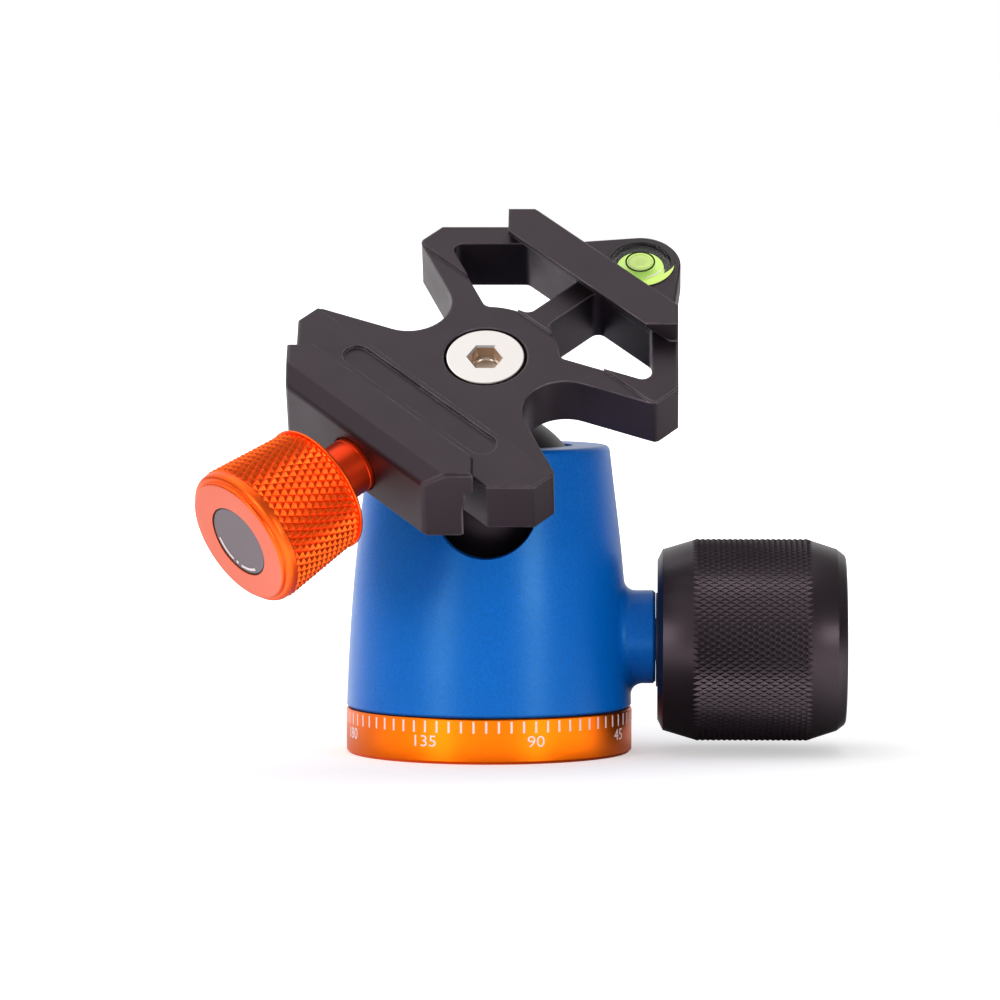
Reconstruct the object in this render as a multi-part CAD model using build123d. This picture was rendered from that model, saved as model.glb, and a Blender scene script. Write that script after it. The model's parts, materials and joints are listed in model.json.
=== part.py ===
from build123d import *
import math
import os

os.makedirs("parts", exist_ok=True)

# ---------------------------------------------------------------------------
# Tripod ball head.  Millimetres.  Origin: centre of the underside, +Z up,
# the ball's drop notch faces -Y, the locking knob is on +X.
# ---------------------------------------------------------------------------

# running fits and gaps
run_fit = 0.04          # radial clearance of a shaft that turns or slides
ball_fit = 0.06         # ball to liner and cup
seat_gap = 0.05         # flat faces of pieces that turn on each other
pan_gap = 0.15          # seam between pan ring and housing
part_gap = 0.03         # pieces of one body that lie against each other
over = 1.0              # how far a cutter runs past the face it opens
set_back = 0.1          # inset pieces stand this far back from the face round them
same = 0.03             # edges closer than this to a height or radius lie on it

# pan base
base_radius = 20.0
ring_height = 6.25
ring_edge = 0.4
ring_lip = 0.15
pad_rim = 2.8           # metal left outside the grip pad
pad_inner = 9.6
pad_recess = 1.0
tripod_minor = 4.0      # 3/8-16 thread, minor radius
tripod_depth = 7.8
drill_point = 2.2
spindle_radius = 7.0
spindle_top = 11.3
flange_radius = 9.2
flange_low = 7.7
flange_thick = 1.3
floor_wall = 1.4        # floor ring's width outside the flange
washer_rim = 1.4        # pan washer stands back from the ring's edge
washer_wall = 3.2
screw_angles = (30, 150, 270)
screw_head = 1.9
screw_head_thick = 1.5
screw_shank = 1.25
screw_end_wall = 0.3
screw_socket = 1.15
socket_depth = 1.1
pad_hole = 2.1

# housing
foot_step = 0.05        # housing's foot stands back from the ring
foot_edge = 0.3
housing_taper = [(13.3, 0.913), (22.1, 0.732), (29.3, 0.516), (35.4, 0.287)]  # z, share left
housing_top = 43.0
housing_wall = 2.25     # round the bore at the top
rim_round = 0.8
mouth_radius = 11.75
bore_radius = 14.6
lip_thick = 1.4         # housing's inward lip over the liner
floor_z = 21.0
notch_radius = 7.15
notch_centre_z = 35.25
notch_start = 4.0       # the notch is cut from here outwards

# ball and neck
ball_z = 34.6
ball_radius = 13.5
neck_radius = 6.0
neck_flare = 7.0
neck_collar = 1.0       # height of the flared end under the platform
neck_taper = 1.0
neck_fillet = 0.5
neck_bite = 0.35        # the fillet's foot sinks into the ball
centre_bore = 3.2

# liner and cup
liner_low = 36.2
liner_rise = 0.8        # the liner's lip stands up in the mouth
liner_notch = 0.53      # the liner is cut wider than the notch by this on each side
cup_low = 21.4
cup_high = 27.6
cup_foot_radius = 5.4
cup_foot_low = 14.5
cup_oil_hole = 2.0

# lock: knob on a boss, plunger with a wedge under the cup
lock_z = 15.7
boss_z = 16.1
boss_radius = 6.55
boss_root = 7.8         # where the boss starts inside the housing
boss_length = 3.35      # from the base's radius out to the boss's end
boss_fillet = 1.6
boss_edge = 0.35
plunger_radius = 4.3
plunger_in = -8.0
plunger_out = 9.0
plunger_room = 0.9
wedge_slope = 0.25
wedge_mid = 18.0
lock_screw_radius = 3.0
screw_tenon = 2.4       # reduced end of the lock screw, held in the plunger
tenon_length = 1.2
bush_radius = 4.6
bush_in = 14.0
knob_gap = 0.25         # boss to knob
knob_stations = [(0.0, 11.15), (0.75, 12.7), (5.6, 14.15), (20.8, 14.15), (25.1, 12.75)]
knob_length = 26.4
knob_end_radius = 11.75
knob_end_round = 0.9
knob_dish_radius = 9.2
knob_dish_depth = 0.5
knob_cap_radius = 5.2
knob_cap_depth = 3.2
knob_recess_radius = 6.9
knob_recess_depth = 0.8
knob_washer_wall = 0.3

# pose of the clamp at rest
rest_tilt = 41.2
rest_spin = -45.0
clamp_height = 28.4     # ball centre to the recessed top of the platform

# clamp platform: u runs along the jaws, v across them, h up
land_step = 0.36        # side lands above the recessed band
platform_low = -7.45
half_length = 23.3
near_face = -17.8
near_corner = 4.45      # leg of the near 45 degree corners
far_corner = 9.5        # leg of the far corners, which the fixed jaw's ends follow
waist_centre = 15.4
waist_shift = 0.2
waist_radius = 5.85
waist_angle = 22.4
band_edge_far = 9.5
band_edge_near = -9.75
corner_round = 1.0
corner_soft = 0.5
edge_top = 0.2
edge_low = 0.3
pocket_v = -12.5
pocket_length = 28.6
pocket_width = 3.9
pocket_depth = 0.1

# windows between hub and fixed jaw
rib_half = 1.7
hub_radius = 10.1
window_far = 19.95
window_wall = 5.15      # from a window's slanted side to the far corner, along u
arm_wall = 3.5
window_round = 1.3

# dovetail jaws
jaw_top = 3.57
lip_depth = 0.75
fixed_tip = 17.45
fixed_back = 23.5
fixed_half = 13.5
undercut_low = 1.0      # the fixed jaw's root runs this far into the plate
jaw_edge = 0.3
moving_tip = -17.4
moving_reach = 2.7
moving_back = -24.6
moving_half = 15.85
moving_point = 2.425    # leg of the 45 degree run from the tip's end to the jaw's point
moving_low = -7.7
relief_high = -0.05     # the moving jaw's undercut: two shallow steps
relief_mid = -1.4
relief_low = -2.8
relief_first = 0.46
relief_second = 0.72
bevel_width = 2.25      # of the slope along the moving jaw's back
bevel_drop = 1.8
bevel_round = 1.2
bevel_soft = 0.5
end_bevel = 0.35

# level
lug_v = 29.9
lug_radius = 5.65
lug_half = 13.3
lug_root = 1.0
lug_top = -1.95
lug_low = -6.6
vial_radius = 4.85
vial_wall = 0.55
vial_floor = 0.5
vial_depth = 3.4
vial_rise = 0.15
glass_thick = 0.7
glass_edge = 0.05
glass_dome = 0.35

# clamp screw and its hexagon, one piece through platform and neck
clamp_screw_radius = 2.95
clamp_screw_head = 5.35
clamp_screw_length = 16.0
clamp_screw_edge = 0.15
seat_radius = 5.75      # countersink in the platform
seat_depth = 3.5
hex_across = 4.0
hex_depth = 2.6
hex_lead = 0.35

# clamp knob on its stud
clamp_axis_h = -3.6
shank_radius = 3.95
shank_length = 6.6      # between the moving jaw's back and the knob's collar
shank_pocket = 0.75
shank_room = 0.2        # round the shank in the moving jaw's pocket
jaw_washer_thick = 0.35
shank_groove = 0.6
shank_groove_depth = 0.12
collar_rise = 0.18      # over the knurl's small end
collar_width = 0.55
collar_groove = 0.2
knurl_small = 8.85
knurl_large = 9.9
knurl_length = 11.95
shoulder_step = 0.18    # under the knurl's large end
shoulder_length = 1.35
shoulder_round = 0.8
face_step = 0.85        # in from the shoulder
face_length = 0.55
face_round = 0.4
disc_radius = 5.15
disc_depth = 1.0
disc_sink = 0.15
stud_radius = 2.5
stud_room = 0.3         # round the stud in the moving jaw and its washer
stud_grip = 4.8         # of the stud inside the knob
stud_reach = 7.6        # of the stud inside the platform
stud_lead = 0.5
stud_travel = 3.8       # free bore past the stud's end
pin_u = 11.2
pin_radius = 1.5
pin_reach = 5.8         # of a guide pin inside the platform
pin_travel = 3.0
pin_cover = 0.7         # between a guide pin and the moving jaw's back

# values that follow from the sizes above
seam_z = ring_height + pan_gap
housing_foot = base_radius - foot_step
housing_top_radius = bore_radius + housing_wall
boss_end = base_radius + boss_length
pad_outer = base_radius - pad_rim
screw_circle = (pad_outer + pad_inner) / 2
flange_high = flange_low + flange_thick
floor_radius = flange_radius + floor_wall
lip_low = housing_top - lip_thick
liner_top = lip_low + liner_rise
knob_start = boss_end + knob_gap
knob_end = knob_start + knob_length
neck_end = clamp_height + platform_low - seat_gap
far_sum = half_length + fixed_back - far_corner     # |u| + |v| on the far corners
window_sum = far_sum - window_wall
moving_sum = moving_half + abs(moving_tip) + 2 * moving_point
cutter = 4 * base_radius
fixed_root = fixed_tip + jaw_top - lip_depth - land_step
moving_root = moving_tip - moving_reach
pocket_floor = moving_back + shank_pocket
collar_v = moving_back - shank_length
knurl_start = collar_v - collar_width - collar_groove
knurl_end = knurl_start - knurl_length
shoulder_v = knurl_end - shoulder_length
clamp_face = shoulder_v - face_length
collar_radius = knurl_small + collar_rise
shoulder_radius = knurl_large - shoulder_step
face_step_radius = shoulder_radius - face_step
stud_head = collar_v - stud_grip
stud_tip = near_face + stud_reach
stud_bore_end = stud_tip + stud_travel
pin_tip = near_face + pin_reach
pin_bore_end = pin_tip + pin_travel
pin_root = moving_back + pin_cover
shank_end = pocket_floor - jaw_washer_thick - part_gap - seat_gap


def turned(points):
    """A solid turned about Z from (radius, z) points."""
    face = make_face(Polyline(*[(r, 0, z) for r, z in points], close=True))
    return revolve(face, axis=Axis.Z)


def drum(radius, low, high):
    """A plain cylinder about Z between two heights."""
    return Pos(0, 0, low) * extrude(Circle(radius), high - low)


def ring(outer, inner, low, high):
    """A drum with a hole right through it."""
    return drum(outer, low, high) - drum(inner, low - over, high + over)


def rounded(points, rounds):
    """A closed plan with some corners rounded; rounds gives a radius for a corner's index."""
    face = make_face(Polyline(*points, close=True))
    for index, radius in rounds.items():
        spot = Vector(points[index][0], points[index][1], 0)
        corner = min(face.vertices(), key=lambda p: (Vector(p.X, p.Y, 0) - spot).length)
        face = fillet(corner, radius)
    return face


def both_sides(right):
    """A closed plan from its right half."""
    return [*right, *[(-u, v) for u, v in reversed(right)]]


def save(shape, name):
    """Write one piece as its own file."""
    solids = shape.solids()
    whole = solids[0] if len(solids) == 1 else Compound(solids)
    export_step(whole, f"parts/{name}.step")


# ---------------------------------------------------------------------------
# pan base
# ---------------------------------------------------------------------------

def screw_spot(angle):
    return Rot(0, 0, angle) * Pos(screw_circle, 0, 0)


def pan_ring():
    body = turned([(0, 0), (base_radius - ring_edge, 0), (base_radius, ring_edge),
                   (base_radius, ring_height - ring_lip), (base_radius - ring_lip, ring_height),
                   (0, ring_height)])
    body -= drum(pad_outer, -over, pad_recess)
    body -= drum(spindle_radius, -over, ring_height + over)
    for angle in screw_angles:
        body -= screw_spot(angle) * drum(screw_shank + part_gap, 0, ring_height + over)
        body -= screw_spot(angle) * drum(screw_head + part_gap, 0, pad_recess + screw_head_thick)
    return body


def grip_pad():
    body = ring(pad_outer - part_gap, pad_inner, 0, pad_recess - part_gap)
    for angle in screw_angles:
        body -= screw_spot(angle) * drum(pad_hole, -over, pad_recess + over)
    return body


def hub_plate():
    return ring(pad_inner - part_gap, spindle_radius + part_gap, set_back, pad_recess - part_gap)


def cover_screw(angle):
    head_low = pad_recess + set_back
    head_high = pad_recess + screw_head_thick - part_gap
    body = drum(screw_head, head_low, head_high)
    body += drum(screw_shank, head_high, ring_height - screw_end_wall)
    socket = Pos(0, 0, head_low) * extrude(RegularPolygon(screw_socket, 6), socket_depth)
    return screw_spot(angle) * (body - socket)


def spindle():
    body = turned([(0, 0), (spindle_radius, 0), (spindle_radius, flange_low),
                   (flange_radius, flange_low), (flange_radius, flange_high),
                   (spindle_radius, flange_high), (spindle_radius, spindle_top),
                   (0, spindle_top)])
    body -= turned([(0, -over), (tripod_minor, -over), (tripod_minor, tripod_depth),
                    (0, tripod_depth + drill_point)])
    return body


def pan_washer():
    return ring(base_radius - washer_rim, spindle_radius + washer_wall, ring_height,
                seam_z - part_gap)


# ---------------------------------------------------------------------------
# housing
# ---------------------------------------------------------------------------

def housing_shell():
    z_foot = seam_z + foot_edge
    splay = housing_foot - housing_top_radius
    side = Spline((housing_foot, 0, z_foot),
                  *[(housing_top_radius + splay * share, 0, z) for z, share in housing_taper],
                  (housing_top_radius, 0, housing_top))
    rest = Polyline((housing_top_radius, 0, housing_top), (0, 0, housing_top), (0, 0, seam_z),
                    (housing_foot - foot_edge, 0, seam_z), (housing_foot, 0, z_foot))
    return revolve(make_face(Wire([*side.edges(), *rest.edges()])), axis=Axis.Z)


def lock_rod(radius, start, end, height=lock_z):
    """A cylinder along X at the lock's height."""
    return Pos(start, 0, height) * Rot(0, 90, 0) * extrude(Circle(radius), end - start)


def notch_tool(extra=0.0):
    """The drop notch: round bottom, straight sides, open towards -Y and up."""
    width = notch_radius + extra
    slot = Circle(width) + Pos(0, cutter / 2) * Rectangle(2 * width, cutter)
    return Pos(0, -notch_start, notch_centre_z) * extrude(Plane.XZ * slot, cutter)


def housing():
    body = Rot(0, 0, 90) * housing_shell()
    body += lock_rod(boss_radius, boss_root, boss_end, boss_z)
    joint = [e for e in body.edges() if e.geom_type == GeomType.BSPLINE
             and e.center().X > boss_radius]
    body = fillet(joint, boss_fillet)
    rims = body.edges().filter_by(GeomType.CIRCLE)
    top = [e for e in rims if abs(e.center().Z - housing_top) < same
           and abs(e.radius - housing_top_radius) < same]
    body = fillet(top, rim_round)
    nose = [e for e in body.edges().filter_by(GeomType.CIRCLE)
            if abs(e.center().X - boss_end) < same]
    body = chamfer(nose, boss_edge)
    # chamber for the ball, mouth, cup foot, spindle and the lock's cross bores
    body -= drum(bore_radius, floor_z, lip_low)
    body -= drum(mouth_radius, lip_low - over, housing_top + over)
    body -= drum(cup_foot_radius + run_fit, cup_foot_low - over, floor_z + over)
    body -= drum(floor_radius, 0, flange_high + foot_edge)
    body -= drum(spindle_radius + run_fit, flange_low, lock_z)
    body -= lock_rod(plunger_radius + run_fit, plunger_in - plunger_room, bush_in)
    body -= lock_rod(bush_radius, bush_in, cutter)
    return body - notch_tool()


def floor_ring():
    return ring(floor_radius, spindle_radius + run_fit, seam_z + set_back, flange_low - seat_gap)


def liner():
    body = turned([(0, liner_low), (bore_radius, liner_low), (bore_radius, lip_low),
                   (mouth_radius, lip_low), (mouth_radius, liner_top), (0, liner_top)])
    body -= Pos(0, 0, ball_z) * Sphere(ball_radius + ball_fit)
    return body - notch_tool(liner_notch)


def screw_bush():
    body = lock_rod(bush_radius, bush_in, boss_end)
    return body - lock_rod(lock_screw_radius + run_fit, 0, cutter)


# ---------------------------------------------------------------------------
# ball cup and lock
# ---------------------------------------------------------------------------

def wedge_side(offset, side):
    """All that lies over (side 1) or under (side -1) the slanted wedge face, shifted up."""
    rise = wedge_slope * cutter
    mid = wedge_mid + offset
    face = make_face(Polyline((-cutter, mid - rise), (cutter, mid + rise),
                              (cutter, mid + rise + side * cutter),
                              (-cutter, mid - rise + side * cutter), close=True))
    return extrude(Plane.XZ * face, cutter, both=True)


def ball_cup():
    body = drum(bore_radius - run_fit, cup_low, cup_high)
    body += drum(cup_foot_radius, cup_foot_low, cup_low) & wedge_side(seat_gap, 1)
    body -= Pos(0, 0, ball_z) * Sphere(ball_radius + ball_fit)
    return body - drum(cup_oil_hole, 0, ball_z)


def plunger():
    body = lock_rod(plunger_radius, plunger_in, plunger_out) & wedge_side(0, -1)
    return body - lock_rod(screw_tenon, plunger_out - tenon_length, cutter)


def along_x(points, rounds=()):
    """A solid turned about the lock axis from (x, radius) points."""
    section = rounded([(r, x) for x, r in points], dict(rounds))
    return Pos(0, 0, lock_z) * Rot(0, 0, -90) * revolve(section, axis=Axis.Y)


def main_knob():
    skin = [(knob_start + x, r) for x, r in knob_stations]
    corner = len(skin) + 1
    body = along_x([(knob_start, 0), *skin, (knob_end, knob_end_radius), (knob_end, 0)],
                   {corner: knob_end_round}.items())
    body -= lock_rod(lock_screw_radius + part_gap, 0, knob_end - knob_cap_depth)
    body -= lock_rod(knob_cap_radius, knob_end - knob_cap_depth, knob_end + over)
    floor = knob_end - knob_dish_depth
    rim = knob_dish_radius + knob_dish_depth + over
    body -= along_x([(floor, 0), (floor, knob_dish_radius), (knob_end + over, rim),
                     (knob_end + over, 0)])
    return body - lock_rod(knob_recess_radius, 0, knob_start + knob_recess_depth)


def knob_cap():
    low = knob_end - knob_cap_depth + part_gap
    top = knob_end - knob_dish_depth - set_back
    return along_x([(low, 0), (low, knob_cap_radius - part_gap),
                    (top - jaw_edge, knob_cap_radius - part_gap),
                    (top, knob_cap_radius - jaw_edge), (top, 0)])


def knob_washer():
    low = boss_end + seat_gap
    return lock_rod(knob_recess_radius - knob_washer_wall, low,
                    knob_start + knob_recess_depth - part_gap) - lock_rod(
                        lock_screw_radius + knob_washer_wall, low - over, knob_end)


def lock_screw():
    tenon = plunger_out - tenon_length + seat_gap
    neck = plunger_out + 2 * run_fit
    return along_x([(tenon, 0), (tenon, screw_tenon - run_fit), (neck, screw_tenon - run_fit),
                    (neck + lock_screw_radius - screw_tenon, lock_screw_radius),
                    (knob_end - knob_cap_depth, lock_screw_radius),
                    (knob_end - knob_cap_depth, 0)])


# ---------------------------------------------------------------------------
# ball with neck, and the clamp, both built upright and laid at the rest pose
# ---------------------------------------------------------------------------

tilt = math.radians(rest_tilt)
spin = math.radians(rest_spin)
up = Vector(0, -math.sin(tilt), math.cos(tilt))
back = Vector(0, math.cos(tilt), math.sin(tilt))
side_way = Vector(math.cos(spin), 0, 0) + back * math.sin(spin)
clamp_origin = Vector(0, 0, ball_z) + up * clamp_height
clamp = Plane(origin=clamp_origin, x_dir=side_way, z_dir=up).location


def ball():
    root = math.sqrt(ball_radius ** 2 - neck_radius ** 2)
    collar = neck_end - neck_collar
    body = Sphere(ball_radius) + turned([
        (0, ball_radius / 2), (neck_radius + neck_fillet, root - neck_bite),
        (neck_radius, root + neck_fillet), (neck_radius, collar - neck_taper),
        (neck_flare, collar), (neck_flare, neck_end), (0, neck_end)])
    body -= drum(centre_bore, clamp_height - clamp_screw_length - over, cutter)
    return clamp * Pos(0, 0, -clamp_height) * body


def waist_line(u, offset=0.0):
    """Height of a far waist edge over the middle line, moved out by an offset."""
    lean = math.radians(waist_angle)
    start_u = waist_centre - waist_radius * math.sin(lean)
    start_v = waist_shift + waist_radius * math.cos(lean)
    return start_v + (u - start_u) * math.tan(lean) + offset / math.cos(lean)


def outline():
    """The platform's plan: chamfered corners and deep rounded waists."""
    right = [(half_length - near_corner, near_face), (half_length, near_face + near_corner),
             (half_length, fixed_back - far_corner), (half_length - far_corner, fixed_back)]
    plan = make_face(Polyline(*both_sides(right), close=True))
    soft = [p for p in plan.vertices() if p.Y < 0]
    plan = fillet(soft, corner_soft)
    lean = math.radians(waist_angle)
    start_u = waist_centre - waist_radius * math.sin(lean)
    far = 2 * half_length
    wedge = make_face(Polyline(
        (start_u, waist_line(start_u)), (far, waist_line(far)),
        (far, 2 * waist_shift - waist_line(far)),
        (start_u, 2 * waist_shift - waist_line(start_u)), close=True))
    cut = Pos(waist_centre, waist_shift) * Circle(waist_radius) + wedge
    plan -= cut
    plan -= mirror(cut, about=Plane.YZ)
    sides = [p for p in plan.vertices() if abs(abs(p.X) - half_length) < same]
    tips = sorted(sides, key=lambda p: abs(p.Y))[:4]
    return fillet(tips, corner_round)


def window(sign):
    """One window between hub, centre rib, arm and fixed jaw."""
    low = waist_line(0, arm_wall)
    slope = math.tan(math.radians(waist_angle))
    meet = (window_sum - low) / (1 + slope)
    inside = hub_radius / 2
    plan = make_face(Polyline((rib_half, inside), (rib_half, window_far),
                              (window_sum - window_far, window_far),
                              (meet, window_sum - meet), (inside, low + slope * inside),
                              close=True))
    plan -= Circle(hub_radius)
    plan = fillet(plan.vertices(), window_round)
    return plan if sign > 0 else mirror(plan, about=Plane.YZ)


def jaw_bar(section, plan):
    """A bar along u with a (v, h) section, trimmed to a plan outline."""
    bar = extrude(Plane.YZ * section, cutter, both=True)
    return bar & extrude(make_face(Polyline(*plan, close=True)), cutter, both=True)


def jaw_plan(half, tip, back_v, total):
    """A jaw's plan: straight tip, 45 degree ends that meet in a point, straight back."""
    out = math.copysign(1, tip)
    point_u = (total + half - abs(tip)) / 2
    return both_sides([(half, tip), (point_u, out * (total - point_u)),
                       (total - abs(back_v), back_v)])


def clamp_axis(section):
    """A solid turned about the clamp screw's axis from a plan in (radius, v)."""
    return Pos(0, 0, clamp_axis_h) * revolve(section, axis=Axis.Y)


def clamp_turned(points, rounds=()):
    """A solid turned about the clamp screw's axis from (v, radius) points."""
    return clamp_axis(rounded([(r, v) for v, r in points], dict(rounds)))


def clamp_rod(radius, low, high, u=0.0):
    """A cylinder along v."""
    return Pos(u, 0, 0) * clamp_turned([(low, 0), (low, radius), (high, radius), (high, 0)])


def platform():
    plate = Pos(0, 0, platform_low) * extrude(outline(), land_step - platform_low)
    top = [e for e in plate.edges() if abs(e.center().Z - land_step) < same]
    plate = chamfer(top, edge_top)
    low = [e for e in plate.edges() if abs(e.center().Z - platform_low) < same]
    plate = chamfer(low, edge_low)
    for sign in (1, -1):
        plate -= extrude(window(sign), cutter, both=True)
    band = Pos(0, (band_edge_far + band_edge_near) / 2) * Rectangle(
        cutter, band_edge_far - band_edge_near)
    plate -= extrude(band, cutter)
    pocket = Pos(0, pocket_v) * RectangleRounded(pocket_length, pocket_width,
                                                 pocket_width / 2 - part_gap)
    plate -= Pos(0, 0, -pocket_depth) * extrude(pocket, cutter)
    # fixed jaw with its undercut
    section = rounded([(fixed_root, -undercut_low), (fixed_root, land_step),
                       (fixed_tip, jaw_top - lip_depth), (fixed_tip, jaw_top),
                       (fixed_back - jaw_edge, jaw_top), (fixed_back, jaw_top - jaw_edge),
                       (fixed_back, platform_low + jaw_edge),
                       (fixed_back - jaw_edge, platform_low),
                       (window_far + edge_low, platform_low),
                       (window_far + edge_low, -undercut_low)], {})
    plate += jaw_bar(section, jaw_plan(fixed_half, fixed_tip, fixed_back, far_sum))
    # lug for the level
    root_v = fixed_back - lug_root
    foot = Line((-lug_half, root_v), (lug_half, root_v))
    nose = (Pos(0, lug_v) * Circle(lug_radius)).edges()
    lug = Pos(0, 0, lug_low) * extrude(make_hull([*nose, *foot.edges()]), lug_top - lug_low)
    edge = [e for e in lug.edges() if abs(e.center().Z - lug_top) < same]
    plate += chamfer(edge, jaw_edge)
    plate -= Pos(0, lug_v, 0) * drum(vial_radius, lug_top - vial_depth, cutter)
    # screw seat, stud bore and pin bores
    plate -= drum(centre_bore, -cutter, 0)
    flat = seat_depth - (seat_radius - centre_bore)
    plate -= turned([(0, -seat_depth), (centre_bore, -seat_depth), (seat_radius, -flat),
                     (seat_radius, jaw_top), (0, jaw_top)])
    plate -= clamp_rod(stud_radius + run_fit, near_face - over, stud_bore_end)
    for u in (-pin_u, pin_u):
        plate -= clamp_rod(pin_radius + run_fit, near_face - over, pin_bore_end, u)
    return clamp * plate


def clamp_screw():
    cone = seat_gap - centre_bore - seat_depth
    body = turned([(0, -clamp_screw_length), (clamp_screw_radius, -clamp_screw_length),
                   (clamp_screw_radius, clamp_screw_radius + cone),
                   (clamp_screw_head, clamp_screw_head + cone),
                   (clamp_screw_head, -clamp_screw_edge),
                   (clamp_screw_head - clamp_screw_edge, 0), (0, 0)])
    corner = hex_across / math.sqrt(3)
    body -= Pos(0, 0, -hex_depth) * extrude(RegularPolygon(corner, 6), cutter)
    return clamp * (body - turned([(0, over), (corner + over, over), (corner - hex_lead, -hex_lead),
                                   (0, -hex_lead)]))


def moving_jaw():
    inner = moving_root - relief_first
    deep = moving_root - relief_second
    section = rounded([
        (moving_tip, jaw_top), (moving_tip, jaw_top - lip_depth),
        (moving_root, jaw_top - lip_depth - moving_reach), (inner, relief_high),
        (inner, relief_mid), (deep, relief_low), (deep, moving_low + jaw_edge),
        (deep - jaw_edge, moving_low), (moving_back + jaw_edge, moving_low),
        (moving_back, moving_low + jaw_edge), (moving_back, jaw_top - bevel_drop),
        (moving_back + bevel_width, jaw_top)], {10: bevel_round, 11: bevel_soft})
    body = jaw_bar(section, jaw_plan(moving_half, moving_tip, moving_back, moving_sum))
    ends = [e for e in body.edges() if abs(e.center().Z - jaw_top) < same
            and abs(e.center().X) > moving_half]
    body = chamfer(ends, end_bevel)
    body -= clamp_rod(stud_radius + stud_room, -cutter, 0)
    body -= clamp_rod(shank_radius + shank_room, -cutter, pocket_floor)
    for u in (-pin_u, pin_u):
        body -= clamp_rod(pin_radius, pin_root, 0, u)
    return clamp * body


def guide_pin(u):
    return clamp * clamp_rod(pin_radius, pin_root + seat_gap, pin_tip, u)


def jaw_washer():
    top = pocket_floor - part_gap
    return clamp * (clamp_rod(shank_radius, top - jaw_washer_thick, top)
                    - clamp_rod(stud_radius + stud_room, -cutter, 0))


def clamp_knob():
    groove = moving_back - shank_groove
    points = [
        (shank_end, 0), (shank_end, shank_radius), (groove, shank_radius),
        (groove - shank_groove_depth, shank_radius - shank_groove_depth),
        (groove - 2 * shank_groove_depth, shank_radius), (collar_v, shank_radius),
        (collar_v, collar_radius - jaw_edge), (collar_v - jaw_edge, collar_radius),
        (collar_v - collar_width, collar_radius),
        (collar_v - collar_width, knurl_small - collar_groove),
        (knurl_start, knurl_small - collar_groove), (knurl_start, knurl_small),
        (knurl_end, knurl_large), (knurl_end, shoulder_radius), (shoulder_v, shoulder_radius),
        (shoulder_v, face_step_radius), (clamp_face, face_step_radius), (clamp_face, 0)]
    body = clamp_turned(points, {14: shoulder_round, 16: face_round}.items())
    body -= clamp_rod(disc_radius, clamp_face - over, clamp_face + disc_depth)
    return clamp * (body - clamp_rod(stud_radius, stud_head, 0))


def knob_disc():
    low = clamp_face + disc_sink
    edge = disc_radius - part_gap
    return clamp * clamp_turned([(low, 0), (low, edge - disc_sink), (low + disc_sink, edge),
                                 (clamp_face + disc_depth - part_gap, edge),
                                 (clamp_face + disc_depth - part_gap, 0)])


def clamp_stud():
    return clamp * clamp_turned([(stud_head + part_gap, 0), (stud_head + part_gap, stud_radius),
                                 (stud_tip - stud_lead, stud_radius),
                                 (stud_tip, stud_radius - stud_lead), (stud_tip, 0)])


# level: metal cup, coloured fluid, clear domed top
def level_cup():
    low = lug_top - vial_depth
    body = drum(vial_radius - part_gap, low + part_gap, lug_top + vial_rise)
    return clamp * Pos(0, lug_v, 0) * (
        body - drum(vial_radius - vial_wall, low + vial_floor, cutter))


def level_fluid():
    return clamp * Pos(0, lug_v, 0) * drum(
        vial_radius - vial_wall, lug_top - vial_depth + vial_floor, lug_top - glass_thick)


def level_glass():
    edge = vial_radius - vial_wall
    low = lug_top - glass_thick
    return clamp * Pos(0, lug_v, 0) * turned([
        (0, low), (edge, low), (edge, lug_top + glass_edge),
        (edge - vial_wall, lug_top + glass_dome), (0, lug_top + glass_dome)])


pieces = {
    "pan_ring": pan_ring,
    "grip_pad": grip_pad,
    "hub_plate": hub_plate,
    "spindle": spindle,
    "pan_washer": pan_washer,
    "housing": housing,
    "floor_ring": floor_ring,
    "liner": liner,
    "screw_bush": screw_bush,
    "ball_cup": ball_cup,
    "plunger": plunger,
    "main_knob": main_knob,
    "knob_cap": knob_cap,
    "knob_washer": knob_washer,
    "lock_screw": lock_screw,
    "ball": ball,
    "platform": platform,
    "clamp_screw": clamp_screw,
    "moving_jaw": moving_jaw,
    "jaw_washer": jaw_washer,
    "clamp_knob": clamp_knob,
    "knob_disc": knob_disc,
    "clamp_stud": clamp_stud,
    "level_cup": level_cup,
    "level_fluid": level_fluid,
    "level_glass": level_glass,
}

for piece, build in pieces.items():
    save(build(), piece)
for number, angle in enumerate(screw_angles, 1):
    save(cover_screw(angle), f"cover_screw_{number}")
for side_name, pin_at in (("left", -pin_u), ("right", pin_u)):
    save(guide_pin(pin_at), f"guide_pin_{side_name}")
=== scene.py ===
"""Tripod ball head: finishes, knurls, scales, level and stage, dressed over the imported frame."""

import json
import math

import bmesh
import bpy
from bpy.props import FloatProperty, FloatVectorProperty, IntProperty, PointerProperty
from mathutils import Matrix, Vector


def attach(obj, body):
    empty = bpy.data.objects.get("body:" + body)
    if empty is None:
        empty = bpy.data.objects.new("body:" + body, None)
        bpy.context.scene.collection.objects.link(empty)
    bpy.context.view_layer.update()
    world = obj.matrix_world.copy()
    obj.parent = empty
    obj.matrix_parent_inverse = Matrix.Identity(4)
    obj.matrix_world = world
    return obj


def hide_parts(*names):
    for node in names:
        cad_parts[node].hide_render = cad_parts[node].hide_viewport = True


bl_info = {
    "name": "Tripod Ball Head",
    "version": (1, 0, 0),
    "blender": (4, 5, 0),
    "location": "View3D > Sidebar > Ball Head",
    "description": "Dresses the frame of a small tripod ball head with its finishes and fine parts",
    "category": "Object",
}

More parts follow.
